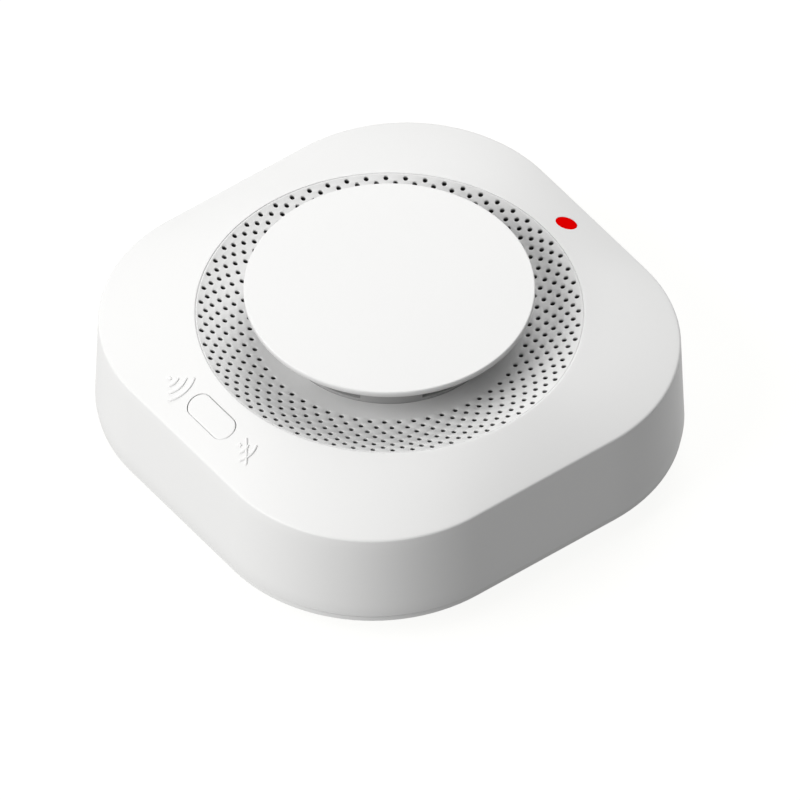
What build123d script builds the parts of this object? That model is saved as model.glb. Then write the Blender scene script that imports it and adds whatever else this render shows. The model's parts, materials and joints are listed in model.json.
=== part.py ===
"""Ceiling smoke detector: a rounded square body on a round mounting bracket.

The frame's origin is the centre of the bracket's ceiling face, +Z runs through the detector towards
the centre cap, the test button is on the -Y side and the status light on the +Y side.
"""

import os
from math import atan2, degrees, radians, sqrt, tan

from build123d import *

# Overall form, millimetres.
body_width = 106.0  # across the flats, at the parting line
overall_height = 41.5  # ceiling face to the top of the centre cap
corner_radius = 35.4  # of the body's rounded square, at the parting line
wall = 1.8
roof_drop = 2.0  # the roof's thickness, measured straight down
side_draft = 2.08  # degrees that the side walls lean inwards

# Heights that hang from the top of the cap.
cap_thickness = 1.42
crest_below_top = 12.6  # where the side walls meet the roof
rim_below_top = 7.1  # where the roof meets the grille
grille_step = 0.35  # the grille sits this far below the roof's round rim
bowl_rise = 2.75  # the grille's outer edge above its inner edge

# Heights that stack up from the ceiling.
bracket_height = 6.0
bracket_gap = 0.15  # running gap between bracket and base
edge_height = 1.31  # the base's visible edge below the parting line
edge_inset = 0.26  # the base's edge inside the cover's
parting_gap = 0.15
floor_thickness = 1.8
lip_height = 1.5  # of the ridge that the cover's walls fit over
crest_round = 0.6

# Sound grille and its holes.
grille_radius = 39.46
grille_thickness = 1.4
grille_fit = 0.16
hole_diameter = 1.05
hole_rings = 8
holes_per_ring = 60
outer_ring_inset = 1.01  # from the grille's opening to the outermost holes' centres
first_ring_step = 1.07
ring_step_growth = 0.1205
tab_count = 10
tab_width = 1.9
tab_length = 2.0
tab_height = 1.2
tab_overlap = 0.2  # the tab's middle inside the grille's opening
tab_drop = 0.45  # below the grille's edge, because the bowl falls away inwards

# Smoke inlet, cap and chamber.
cap_radius = 29.63
collar_radius = 22.9
collar_wall = 1.7
window_count = 6
window_span = 28.0  # degrees
window_centre = -66.0  # degrees, of the first window
window_sill = 0.7  # above the grille's inner edge
window_lintel = 0.8
cap_edge_round = 0.35
cap_under_round = 0.2
spigot_rim = 1.2
seat_flange = 2.0
flange_thickness = 1.2
fit = 0.1  # between pieces that slide together by hand
screen_wall = 0.4
screen_slots = 48
slot_width = 1.1
screen_band = 1.0  # plain edge above the slots
chamber_wall = 1.6
chamber_roof = 1.2
socket_floor = 0.9  # below the sensors' bores
socket_wall = 1.2
vane_count = 16
vane_thickness = 0.8
vane_length = 4.2
vane_return = 3.0
vane_lean = 40.0
vane_inset = 4.0
vane_overlap = 0.25  # of a vane's two halves
labyrinth_gap = 0.6
spigot_depth = 1.8
roof_gap = 0.5  # between the labyrinth and the cap's spigot

# Circuit board and what it carries.
board_thickness = 1.6
board_inset = 4.0  # from the body's flats to the round board's edge
board_gap = 1.5  # between the battery bay's roof and the board
board_post_spread = 30.0
post_radius = 3.0
board_screw_radius = 0.9
board_screw_reach = 6.0  # into the post
board_head_radius = 2.0
board_head_height = 1.3
post_bore_depth = 8.0
siren_radius = 12.3
siren_height = 4.6
siren_wall = 1.2
siren_ledge = 1.5  # what the disc rests on, in width and in height
siren_mouth = 3.0
siren_roof = 1.0
contact_radius = 0.6
contact_spread = 5.0
siren_gap = 0.8  # between the siren and the inlet collar
disc_thickness = 0.4
emitter_radius = 1.5
emitter_length = 5.0
emitter_offset = 9.5
emitter_nose = 0.3  # flat left by the rounded nose
emitter_step = 0.5  # that each end stands out of its socket
sensor_turns = {"infrared_emitter": 180.0, "photodiode": 60.0}

# Blocks on the board: place, then length, width, height and the top edge's chamfer.
chip_blocks = {
    "microcontroller": ((30.0, 12.0), (7.0, 7.0, 0.9), 0.1),
    "signal_amplifier": ((-9.0, 33.0), (5.0, 4.0, 1.2), 0.1),
    "boost_inductor": ((9.0, -34.0), (6.0, 6.0, 3.0), 0.4),
}
lamp_size = (3.0, 2.0, 1.0)
lamp_chamfer = 0.1
lamp_gap = 0.4  # between the lamp and the light guide
guide_shoulder = 0.6
capacitor_place = (-12.0, -34.0)
capacitor_radius = 3.15
capacitor_height = 5.2
capacitor_round = 0.4
resistor_size = (1.6, 0.8, 0.5)
resistor_pitch = 3.0
resistor_rows = 4
resistor_columns = 5
resistor_start = (28.0, -14.0)

# Test button and status light.
button_length = 12.9
button_width = 4.9
button_offset = 45.17
button_gap = 0.2
button_travel = 0.5
flange_lip = 1.0
flange_height = 0.8
flange_clearance = 0.2  # below the roof's underside, at the flange's outer edge
lens_radius = 2.2
lens_offset = 45.2
lens_gap = 0.05
switch_size = 6.0
switch_height = 3.0
plunger_radius = 1.65
plunger_fit = 0.15
plunger_seat = 1.0  # below the switch's top

# Battery bay and door.
cell_diameter = 10.4
cell_length = 43.7
nipple_length = 0.8
nipple_radius = 1.9
cell_fit = 0.3
cell_round = 0.5
contact_thickness = 0.4
contact_inset = 1.2  # from the cell's side to the contact's edge
spring_inset = 2.2
spring_tail = 1.5
spring_reach = 2.4
bay_wall = 1.2
door_thickness = 1.6
door_gap = 0.2
hinge_radius = 1.5
hinge_clearance = 0.3
pin_radius = 0.75
pin_fit = 0.08
lug_length = 2.0
hinge_cell_gap = 0.182  # between the hinge's barrel and the cell above it
thumb_recess = (14.0, 4.0, 0.6)  # length, width and depth
thumb_inset = 4.0

# Screws that close the case, and the bayonet.
boss_radius = 3.0
boss_gap = 0.4  # from the cover's inner wall
screw_radius = 1.15
screw_head_radius = 2.5
screw_head_height = 1.8
head_fit = 0.3
screw_length = 10.0
screw_cross = (3.2, 0.8, 1.0)  # length, width and depth of the driving cross
board_cross = (2.6, 0.6, 0.6)
bore_depth = 2.4
boss_height = 3.0
bracket_radius = 45.0
bracket_wall = 1.8
bracket_web = 1.6
spigot_radius = 40.0
spigot_wall = 2.0
spigot_reach = 3.95
bayonet_fit = 0.2
lug_reach = 2.8
lug_span = 12.0
lug_height = 1.5
release_turn = 15.0
ledge_height = 1.7
stop_span = 2.7
stop_slack = 0.3
fixing_pitch = 60.0
fixing_radius = 2.15
slot_span = 24.0  # degrees, of each curved fixing slot
slot_offset = 5.0  # from the bracket's opening to a slot's middle line
ledge_shift = 0.5  # degrees, towards the locked stop
opening_margin = (10.0, 24.0)  # what the bracket's opening adds to the battery bay's length and width
opening_corner = 10.0

# Heights worked out from the values above.
base_z = bracket_height + bracket_gap
parting_z = base_z + edge_height
floor_z = base_z + floor_thickness
cap_z = overall_height - cap_thickness
crest_z = overall_height - crest_below_top
rim_z = overall_height - rim_below_top
grille_edge_z = rim_z - grille_step
grille_z = grille_edge_z - bowl_rise
cell_z = base_z + door_thickness + cell_fit + cell_diameter / 2
bay_roof_z = cell_z + cell_diameter / 2 + cell_fit
board_z = bay_roof_z + bay_wall + board_gap
board_top = board_z + board_thickness
chamber_z = board_top + chamber_wall
labyrinth_top = cap_z - spigot_depth - roof_gap

# Plan sizes worked out from the values above.
half_width = body_width / 2
crest_inset = tan(radians(side_draft)) * (crest_z - parting_z)
board_radius = half_width - board_inset
corner_centre = sqrt(2) * (half_width - corner_radius)
boss_distance = corner_centre + corner_radius - crest_inset - wall - boss_radius - boss_gap
boss_place = boss_distance / sqrt(2)
corners = [(sx * boss_place, sy * boss_place) for sx in (-1, 1) for sy in (-1, 1)]
post_places = [
    (sx * board_post_spread, sy * board_post_spread) for sx in (-1, 1) for sy in (-1, 1)
]
cell_spread = cell_diameter + 2 * cell_fit
bay_length = cell_length + nipple_length + spring_reach + 2 * contact_thickness + cell_fit
bay_width = cell_spread + cell_diameter + 2 * cell_fit
door_length = bay_length
door_reach = bay_width
hinge_z = base_z + hinge_radius
hinge_reach = cell_diameter / 2 + hinge_radius + hinge_cell_gap
hinge_y = -cell_spread / 2 - sqrt(hinge_reach**2 - (cell_z - hinge_z) ** 2)
contact_size = cell_diameter - 2 * contact_inset
spring_width = cell_diameter - 2 * spring_inset
opening_size = (bay_length + opening_margin[0], bay_width + opening_margin[1])
collar_bore = collar_radius - collar_wall
screen_radius = collar_bore - 2 * fit
siren_offset = collar_radius + siren_gap + siren_radius
labyrinth_radius = screen_radius - screen_wall - labyrinth_gap
bayonet_radius = spigot_radius + lug_reach
crest_half = half_width - crest_inset
roof_slope = (rim_z - crest_z) / (crest_half - wall - grille_radius)
flange_edge = button_offset + button_width / 2 + flange_lip
underside_z = crest_z - roof_drop + (crest_half - wall - flange_edge) * roof_slope
button_flange_z = underside_z - flange_clearance
plunger_z = board_top + switch_height - plunger_seat

os.makedirs("parts", exist_ok=True)
pieces = []


def keep(piece, name):
    """Names a finished piece and adds it to those written at the end."""
    piece.part.label = name
    pieces.append(piece.part)


def polar(radius, angle):
    """A point in plan at a distance and an angle from the centre."""
    return Vector(radius, 0).rotate(Axis.Z, angle)


def radial_plane(turn, distance, height):
    """A plane that faces outwards, at a distance and height from the centre, turned about Z."""
    origin = polar(distance, turn) + Vector(0, 0, height)
    return Plane(origin=origin, x_dir=polar(1, turn + 90), z_dir=polar(1, turn))


def rounded_square(half, radius):
    """Draws the body's outline in eight pieces, from the +X side's lower end, anticlockwise."""
    reach = half - radius
    with BuildSketch() as outline:
        with BuildLine():
            for turn in (0, 90, 180, 270):
                corner = Vector(reach, reach).rotate(Axis.Z, turn)
                lower = Vector(half, -reach).rotate(Axis.Z, turn)
                upper = Vector(half, reach).rotate(Axis.Z, turn)
                Line(lower, upper)
                CenterArc(corner, radius, turn, 90)
        make_face()
    return outline.sketch


def split_circle(radius, side_angle):
    """Draws a circle in eight arcs that match the eight pieces of the body's outline."""
    with BuildSketch() as circle:
        with BuildLine():
            for turn in (0, 90, 180, 270):
                CenterArc((0, 0), radius, turn - side_angle, 2 * side_angle)
                CenterArc((0, 0), radius, turn + side_angle, 90 - 2 * side_angle)
        make_face()
    return circle.sketch


def ring_sector(inner, outer, centre, span):
    """Draws a piece of a ring, of a span in degrees about a centre angle."""
    start = centre - span / 2
    end = centre + span / 2
    with BuildSketch() as piece:
        with BuildLine():
            CenterArc((0, 0), outer, start, span)
            CenterArc((0, 0), inner, start, span)
            Line(polar(inner, start), polar(outer, start))
            Line(polar(inner, end), polar(outer, end))
        make_face()
    return piece.sketch


def cover_form(inset, drop):
    """Fills the cover's form, its walls moved in by inset and its roof moved down by drop."""
    upper_half = crest_half - inset
    upper_corner = corner_radius - crest_inset - inset
    with BuildSketch(Plane.XY.offset(parting_z)) as foot:
        add(rounded_square(half_width - inset, corner_radius - inset))
    with BuildSketch(Plane.XY.offset(crest_z - drop)) as crest:
        add(rounded_square(upper_half, upper_corner))
    with BuildSketch(Plane.XY.offset(rim_z - drop)) as rim:
        add(split_circle(grille_radius, degrees(atan2(upper_half - upper_corner, upper_half))))
    loft([foot.sketch, crest.sketch, rim.sketch], ruled=True)


def grille_holes():
    """Draws every hole of the grille: rings closer together outwards, each turned by half a pitch."""
    for ring in range(hole_rings):
        steps = first_ring_step * ring + ring_step_growth * ring * (ring - 1) / 2
        phase = (ring % 2) * 180 / holes_per_ring
        with PolarLocations(grille_radius - outer_ring_inset - steps, holes_per_ring, phase):
            Circle(hole_diameter / 2)


# The cover's filled outer form trims the button and the lens flush with the roof.
with BuildPart() as outer_form:
    cover_form(0, 0)
    fillet(outer_form.edges().filter_by_position(Axis.Z, crest_z, crest_z), crest_round)

# Mounting bracket, screwed to the ceiling.
with BuildPart() as mounting_bracket:
    with BuildSketch():
        Circle(bracket_radius)
        RectangleRounded(*opening_size, opening_corner, mode=Mode.SUBTRACT)
        with Locations((0, fixing_pitch / 2), (0, -fixing_pitch / 2)):
            Circle(fixing_radius, mode=Mode.SUBTRACT)
        for turn in (0, 180):
            start = turn - slot_span / 2
            reach = opening_size[0] / 2 + slot_offset
            slot_path = CenterArc((0, 0), reach, start, slot_span, mode=Mode.PRIVATE)
            SlotArc(slot_path, 2 * fixing_radius, mode=Mode.SUBTRACT)
    extrude(amount=bracket_web)
    with BuildSketch(Plane.XY):
        Circle(bracket_radius)
        Circle(bracket_radius - bracket_wall, mode=Mode.SUBTRACT)
    extrude(amount=bracket_height)
    ledge_inner = spigot_radius + bayonet_fit
    ledge_outer = bracket_radius - bracket_wall / 2
    ledge_span = lug_span + release_turn / 3
    with BuildSketch(Plane.XY.offset(bracket_height - ledge_height)):
        for turn in (45, 135, 225, 315):
            add(ring_sector(ledge_inner, ledge_outer, turn - ledge_shift, ledge_span))
    extrude(amount=ledge_height)
    locked_stop = lug_span / 2 + stop_slack + stop_span / 2
    released_stop = release_turn + lug_span / 2 + stop_slack + stop_span / 2
    with BuildSketch(Plane.XY):
        for turn in (45, 135, 225, 315):
            add(ring_sector(ledge_inner, ledge_outer, turn - locked_stop, stop_span))
            add(ring_sector(ledge_inner, ledge_outer, turn + released_stop, stop_span))
    extrude(amount=bracket_height)
keep(mounting_bracket, "mounting_bracket")

# Base housing: floor, battery bay, board posts, screw bosses and the bayonet's spigot.
inner_half = half_width - wall - bayonet_fit
inner_corner = corner_radius - wall - bayonet_fit
door_far_y = door_reach / 2 + door_gap
door_near_y = hinge_y - hinge_radius - hinge_clearance
with BuildPart() as base_housing:
    with BuildSketch(Plane.XY.offset(base_z)):
        add(rounded_square(half_width - edge_inset, corner_radius - edge_inset))
    extrude(amount=edge_height - parting_gap)
    with BuildSketch(Plane.XY.offset(base_z)):
        add(rounded_square(inner_half, inner_corner))
    extrude(amount=floor_thickness)
    with BuildSketch(Plane.XY.offset(floor_z)):
        add(rounded_square(inner_half, inner_corner))
        offset(amount=-bay_wall, mode=Mode.SUBTRACT)
    extrude(amount=lip_height)
    with BuildSketch(Plane.XY.offset(base_z)):
        with Locations((0, (door_far_y + door_near_y) / 2)):
            Rectangle(bay_length + 2 * bay_wall + 2 * door_gap, door_far_y - door_near_y + 2 * bay_wall)
    extrude(amount=bay_roof_z + bay_wall - base_z)
    with BuildSketch(Plane.XY.offset(base_z)):
        with Locations((0, (door_far_y + door_near_y) / 2)):
            Rectangle(bay_length + 2 * door_gap, door_far_y - door_near_y)
    extrude(amount=bay_roof_z - base_z, mode=Mode.SUBTRACT)
    with BuildSketch(Plane.YZ.offset(-bay_length / 2 - door_gap)):
        with Locations((hinge_y, hinge_z)):
            Circle(hinge_radius)
    extrude(amount=lug_length)
    with BuildSketch(Plane.YZ.offset(bay_length / 2 + door_gap - lug_length)):
        with Locations((hinge_y, hinge_z)):
            Circle(hinge_radius)
    extrude(amount=lug_length)
    with BuildSketch(Plane.YZ.offset(-bay_length / 2 - door_gap)):
        with Locations((hinge_y, hinge_z)):
            Circle(pin_radius + pin_fit)
    extrude(amount=bay_length + 2 * door_gap, mode=Mode.SUBTRACT)
    with BuildSketch(Plane.XY.offset(floor_z)):
        with Locations(*post_places):
            Circle(post_radius)
    extrude(amount=board_z - floor_z)
    with Locations(*[(x, y, board_z) for x, y in post_places]):
        Hole(board_screw_radius + fit / 2, depth=post_bore_depth)
    with BuildSketch(Plane.XY.offset(base_z)):
        with Locations(*corners):
            Circle(boss_radius + 2 * fit)
    extrude(amount=floor_thickness + boss_height)
    with Locations(*[Location((x, y, base_z), (180, 0, 0)) for x, y in corners]):
        CounterBoreHole(screw_radius + 2 * fit, screw_head_radius + head_fit, bore_depth)
    with BuildSketch(Plane.XY.offset(base_z - spigot_reach)):
        Circle(spigot_radius)
        Circle(spigot_radius - spigot_wall, mode=Mode.SUBTRACT)
    extrude(amount=spigot_reach)
    lug_z = bracket_height - ledge_height - bayonet_fit - lug_height
    with BuildSketch(Plane.XY.offset(lug_z)):
        for turn in (45, 135, 225, 315):
            add(ring_sector(spigot_radius - spigot_wall / 2, bayonet_radius, turn, lug_span))
    extrude(amount=lug_height)
keep(base_housing, "base_housing")

# Top cover: drafted walls, sloping roof, a sleeve round the grille, and openings for button and lens.
sleeve_foot = grille_edge_z - grille_thickness - tab_drop - tab_height
with BuildPart() as inner_form:
    cover_form(wall, roof_drop)
with BuildPart() as top_cover:
    add(outer_form.part)
    add(inner_form.part, mode=Mode.SUBTRACT)
    with BuildSketch(Plane.XY.offset(sleeve_foot)):
        Circle(grille_radius + wall)
    extrude(amount=rim_z - roof_drop / 2 - grille_step - sleeve_foot)
    with BuildSketch(Plane.XY.offset(sleeve_foot)):
        Circle(grille_radius)
    extrude(amount=overall_height - sleeve_foot, mode=Mode.SUBTRACT)
    with BuildSketch(Plane.XY.offset(sleeve_foot)):
        with PolarLocations(grille_radius - tab_overlap, tab_count, 180 / holes_per_ring):
            Rectangle(tab_length, tab_width)
    extrude(amount=tab_height)
    with BuildSketch(Plane.XY.offset(floor_z + boss_height + fit)):
        with Locations(*corners):
            Circle(boss_radius)
    extrude(amount=crest_z - 2 * fit - floor_z - boss_height)
    with BuildSketch(Plane.XY.offset(floor_z + boss_height + fit)):
        with Locations(*corners):
            Circle(screw_radius + fit / 2)
    extrude(amount=screw_length, mode=Mode.SUBTRACT)
    with BuildSketch(Plane.XY.offset(button_flange_z)):
        with Locations((0, -button_offset)):
            SlotOverall(button_length + 2 * button_gap, button_width + 2 * button_gap)
        with Locations((0, lens_offset)):
            Circle(lens_radius + lens_gap)
    extrude(amount=overall_height, mode=Mode.SUBTRACT)
keep(top_cover, "top_cover")

# Sound grille: a shallow bowl with vertical holes, set in the cover's round opening.
with BuildPart() as sound_grille:
    with BuildSketch(Plane.XZ):
        inner = collar_radius + fit
        outer = grille_radius - grille_fit
        with BuildLine():
            TangentArc((inner, grille_z), (outer, grille_edge_z), tangent=(1, 0))
            Line((outer, grille_edge_z), (outer, grille_edge_z - grille_thickness))
            TangentArc(
                (inner, grille_z - grille_thickness),
                (outer, grille_edge_z - grille_thickness),
                tangent=(1, 0),
            )
            Line((inner, grille_z), (inner, grille_z - grille_thickness))
        make_face()
    revolve(axis=Axis.Z)
    with BuildSketch(Plane.XY.offset(grille_z - 2 * grille_thickness)):
        grille_holes()
    extrude(amount=bowl_rise + 4 * grille_thickness, mode=Mode.SUBTRACT)
keep(sound_grille, "sound_grille")

# Inlet collar: the ring of windows under the cap, with a flange that the grille rests on.
with BuildPart() as inlet_collar:
    with BuildSketch(Plane.XY.offset(board_top)):
        Circle(collar_radius)
        Circle(collar_bore, mode=Mode.SUBTRACT)
    extrude(amount=cap_z - board_top)
    with BuildSketch(Plane.XY.offset(grille_z - grille_thickness - flange_thickness)):
        Circle(collar_radius + seat_flange)
        Circle(collar_radius - fit, mode=Mode.SUBTRACT)
    extrude(amount=flange_thickness)
    with BuildSketch(Plane.XY.offset(grille_z + window_sill)):
        for number in range(window_count):
            turn = window_centre + number * 360 / window_count
            add(ring_sector(collar_bore - fit, collar_radius + fit, turn, window_span))
    extrude(amount=cap_z - window_lintel - grille_z - window_sill, mode=Mode.SUBTRACT)
keep(inlet_collar, "inlet_collar")

# Centre cap, with a spigot that fits inside the collar.
with BuildPart() as centre_cap:
    with BuildSketch(Plane.XY.offset(cap_z)):
        Circle(cap_radius)
    extrude(amount=cap_thickness)
    fillet(centre_cap.edges().group_by(Axis.Z)[-1], cap_edge_round)
    fillet(centre_cap.edges().group_by(Axis.Z)[0], cap_under_round)
    with BuildSketch(Plane.XY.offset(cap_z - spigot_depth)):
        Circle(collar_bore - fit)
        Circle(collar_bore - fit - spigot_rim, mode=Mode.SUBTRACT)
    extrude(amount=spigot_depth)
keep(centre_cap, "centre_cap")

# Insect screen: a thin sleeve with tall slots, between the collar and the chamber.
with BuildPart() as insect_screen:
    with BuildSketch(Plane.XY.offset(board_top)):
        Circle(screen_radius)
        Circle(screen_radius - screen_wall, mode=Mode.SUBTRACT)
    extrude(amount=labyrinth_top - board_top)
    with BuildSketch(Plane.XY.offset(grille_z)):
        with PolarLocations(screen_radius, screen_slots):
            Rectangle(4 * screen_wall, slot_width)
    extrude(amount=labyrinth_top - grille_z - screen_band, mode=Mode.SUBTRACT)
keep(insect_screen, "insect_screen")

# Smoke chamber: a base with two sensor sockets, and a labyrinth that keeps light out.
socket_z = chamber_z + emitter_radius + socket_floor
with BuildPart() as chamber_base:
    with BuildSketch(Plane.XY.offset(board_top)):
        Circle(screen_radius - screen_wall - fit)
    extrude(amount=chamber_wall)
    for turn in sensor_turns.values():
        with BuildSketch(Plane.XY.offset(chamber_z).rotated((0, 0, turn))):
            with Locations((emitter_offset, 0)):
                Rectangle(emitter_length - 2 * emitter_step, 2 * (emitter_radius + socket_wall))
        extrude(amount=2 * (emitter_radius + socket_floor))
        with BuildSketch(radial_plane(turn, emitter_offset - emitter_length, socket_z)):
            Circle(emitter_radius + fit / 2)
        extrude(amount=2 * emitter_length, mode=Mode.SUBTRACT)
keep(chamber_base, "chamber_base")

for sensor, turn in sensor_turns.items():
    with BuildPart() as sensor_body:
        with BuildSketch(radial_plane(turn, emitter_offset - emitter_length / 2, socket_z)):
            Circle(emitter_radius)
        extrude(amount=emitter_length)
        nose = sensor_body.edges().filter_by(GeomType.CIRCLE).sort_by_distance((0, 0, socket_z))[0]
        fillet(nose, emitter_radius - emitter_nose)
    keep(sensor_body, sensor)

with BuildPart() as labyrinth:
    with BuildSketch(Plane.XY.offset(chamber_z)):
        inner_place = labyrinth_radius - vane_inset
        with PolarLocations(inner_place, vane_count):
            Rectangle(vane_length, vane_thickness, rotation=vane_lean)
        bend = polar(vane_length / 2, vane_lean) + Vector(inner_place, 0)
        second = bend + polar(vane_return / 2 - vane_overlap, -vane_lean)
        with PolarLocations(0, vane_count):
            with Locations(second):
                Rectangle(vane_return, vane_thickness, rotation=-vane_lean)
    extrude(amount=labyrinth_top - chamber_roof - chamber_z)
    with BuildSketch(Plane.XY.offset(labyrinth_top - chamber_roof)):
        Circle(labyrinth_radius)
    extrude(amount=chamber_roof)
keep(labyrinth, "labyrinth")

# Circuit board, round, with screw holes.
with BuildPart() as circuit_board:
    with BuildSketch(Plane.XY.offset(board_z)):
        Circle(board_radius)
    extrude(amount=board_thickness)
    with Locations(*[(x, y, board_top) for x, y in post_places]):
        Hole(board_screw_radius + head_fit)
keep(circuit_board, "circuit_board")


def block_on_board(name, place, size, round_edges):
    """Stands a rounded block of length, width and height on the board, as a component's body."""
    with BuildPart() as component:
        with BuildSketch(Plane.XY.offset(board_top)):
            with Locations(place):
                Rectangle(size[0], size[1])
        extrude(amount=size[2])
        chamfer(component.edges().group_by(Axis.Z)[-1], round_edges)
    keep(component, name)


for name, (place, size, edge) in chip_blocks.items():
    block_on_board(name, place, size, edge)
block_on_board("status_led", (0, lens_offset), lamp_size, lamp_chamfer)

with BuildPart() as reservoir_capacitor:
    with BuildSketch(Plane.XY.offset(board_top)):
        with Locations(capacitor_place):
            Circle(capacitor_radius)
    extrude(amount=capacitor_height)
    fillet(reservoir_capacitor.edges().group_by(Axis.Z)[-1], capacitor_round)
keep(reservoir_capacitor, "reservoir_capacitor")

chip_places = [
    (resistor_start[0] + resistor_pitch * column, resistor_start[1] + resistor_pitch * row)
    for column in range(resistor_columns)
    for row in range(resistor_rows)
]
with BuildPart() as chip_components:
    with BuildSketch(Plane.XY.offset(board_top)):
        with Locations(*chip_places):
            Rectangle(resistor_size[0], resistor_size[1])
    extrude(amount=resistor_size[2])
keep(chip_components, "chip_components")

# Siren: a cup on the board, with the piezo disc on an inner ledge and two spring contacts under it.
disc_z = board_top + siren_ledge
with BuildPart() as siren_housing:
    with BuildSketch(Plane.XY.offset(board_top)):
        with Locations((-siren_offset, 0)):
            Circle(siren_radius)
            Circle(siren_radius - siren_wall - siren_ledge, mode=Mode.SUBTRACT)
    extrude(amount=disc_z - board_top)
    with BuildSketch(Plane.XY.offset(disc_z)):
        with Locations((-siren_offset, 0)):
            Circle(siren_radius)
            Circle(siren_radius - siren_wall, mode=Mode.SUBTRACT)
    extrude(amount=board_top + siren_height - disc_z)
    with BuildSketch(Plane.XY.offset(board_top + siren_height - siren_roof)):
        with Locations((-siren_offset, 0)):
            Circle(siren_radius)
            Circle(siren_mouth, mode=Mode.SUBTRACT)
    extrude(amount=siren_roof)
keep(siren_housing, "siren_housing")

with BuildPart() as piezo_disc:
    with BuildSketch(Plane.XY.offset(disc_z)):
        with Locations((-siren_offset, 0)):
            Circle(siren_radius - siren_wall - fit)
    extrude(amount=disc_thickness)
keep(piezo_disc, "piezo_disc")

with BuildPart() as siren_contacts:
    with BuildSketch(Plane.XY.offset(board_top)):
        with Locations((-siren_offset, contact_spread), (-siren_offset, -contact_spread)):
            Circle(contact_radius)
    extrude(amount=disc_z - board_top)
keep(siren_contacts, "siren_contacts")

# Test button: a pill flush with the roof, a flange that keeps it in, and the switch below.
with BuildPart() as test_button:
    with BuildSketch(Plane.XY.offset(button_flange_z)):
        with Locations((0, -button_offset)):
            SlotOverall(button_length, button_width)
    extrude(amount=overall_height - button_flange_z)
    add(outer_form.part, mode=Mode.INTERSECT)
    with BuildSketch(Plane.XY.offset(button_flange_z - flange_height)):
        with Locations((0, -button_offset)):
            SlotOverall(button_length + 2 * flange_lip, button_width + 2 * flange_lip)
    extrude(amount=flange_height)
keep(test_button, "test_button")

with BuildPart() as test_switch:
    with BuildSketch(Plane.XY.offset(board_top)):
        with Locations((0, -button_offset)):
            Rectangle(switch_size, switch_size)
    extrude(amount=switch_height)
    with BuildSketch(Plane.XY.offset(plunger_z - button_travel - fit)):
        with Locations((0, -button_offset)):
            Circle(plunger_radius + plunger_fit)
    extrude(amount=switch_height, mode=Mode.SUBTRACT)
keep(test_switch, "test_switch")

with BuildPart() as switch_plunger:
    with BuildSketch(Plane.XY.offset(plunger_z)):
        with Locations((0, -button_offset)):
            Circle(plunger_radius)
    extrude(amount=button_flange_z - flange_height - plunger_z)
keep(switch_plunger, "switch_plunger")

# Status lens: a light guide from just above the lamp to the roof's surface.
with BuildPart() as status_lens:
    with BuildSketch(Plane.XY.offset(button_flange_z)):
        with Locations((0, lens_offset)):
            Circle(lens_radius)
    extrude(amount=overall_height - button_flange_z)
    add(outer_form.part, mode=Mode.INTERSECT)
    guide_foot = board_top + lamp_size[2] + lamp_gap
    with BuildSketch(Plane.XY.offset(guide_foot)):
        with Locations((0, lens_offset)):
            Circle(lens_radius - guide_shoulder)
    extrude(amount=button_flange_z - guide_foot)
keep(status_lens, "status_lens")

# Two battery cells, side by side and end for end, with their contacts.
cell_end = bay_length / 2 - contact_thickness
for name, side in (("battery_cell_near", -1), ("battery_cell_far", 1)):
    with BuildPart() as cell:
        foot = -side * (cell_end - spring_reach)
        with BuildSketch(Plane.YZ.offset(foot)):
            with Locations((side * cell_spread / 2, cell_z)):
                Circle(cell_diameter / 2)
        extrude(amount=side * cell_length)
        fillet(cell.edges().filter_by(GeomType.CIRCLE), cell_round)
        with BuildSketch(Plane.YZ.offset(foot + side * cell_length)):
            with Locations((side * cell_spread / 2, cell_z)):
                Circle(nipple_radius)
        extrude(amount=side * nipple_length)
    keep(cell, name)

with BuildPart() as plate_contacts:
    for side in (-1, 1):
        with BuildSketch(Plane.YZ.offset(side * cell_end)):
            with Locations((side * cell_spread / 2, cell_z)):
                Rectangle(contact_size, contact_size)
        extrude(amount=side * contact_thickness)
keep(plate_contacts, "plate_contacts")

with BuildPart() as spring_contacts:
    for side in (-1, 1):
        with BuildSketch(Plane.XZ.offset(-side * cell_spread / 2 - spring_width / 2)):
            back = -side * cell_end
            nose = -side * (cell_end - spring_reach + contact_thickness)
            with BuildLine():
                Polyline(
                    (back, cell_z - contact_size / 2),
                    (back, cell_z + contact_size / 2),
                    (nose, cell_z),
                    (back, cell_z - contact_size / 2 + spring_tail),
                )
            trace(line_width=contact_thickness)
        extrude(amount=spring_width)
keep(spring_contacts, "spring_contacts")

# Battery door, hinged on a steel pin along its long edge.
barrel_length = bay_length - 2 * lug_length - 2 * fit
with BuildPart() as battery_door:
    with BuildSketch(Plane.XY.offset(base_z)):
        with Locations((0, (hinge_y + door_reach / 2) / 2)):
            Rectangle(barrel_length, door_reach / 2 - hinge_y)
        with Locations((0, (hinge_y + 2 * hinge_radius + door_reach / 2) / 2)):
            Rectangle(door_length, door_reach / 2 - hinge_y - 2 * hinge_radius)
    extrude(amount=door_thickness)
    with BuildSketch(Plane.YZ.offset(-barrel_length / 2)):
        with Locations((hinge_y, hinge_z)):
            Circle(hinge_radius)
    extrude(amount=barrel_length)
    with BuildSketch(Plane.YZ.offset(-barrel_length / 2)):
        with Locations((hinge_y, hinge_z)):
            Circle(pin_radius)
    extrude(amount=barrel_length, mode=Mode.SUBTRACT)
    with BuildSketch(Plane.XY.offset(base_z)):
        with Locations((0, door_reach / 2 - thumb_inset)):
            SlotOverall(thumb_recess[0], thumb_recess[1])
    extrude(amount=thumb_recess[2], mode=Mode.SUBTRACT)
keep(battery_door, "battery_door")

with BuildPart() as door_pin:
    with BuildSketch(Plane.YZ.offset(-bay_length / 2)):
        with Locations((hinge_y, hinge_z)):
            Circle(pin_radius)
    extrude(amount=bay_length)
keep(door_pin, "door_pin")

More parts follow.
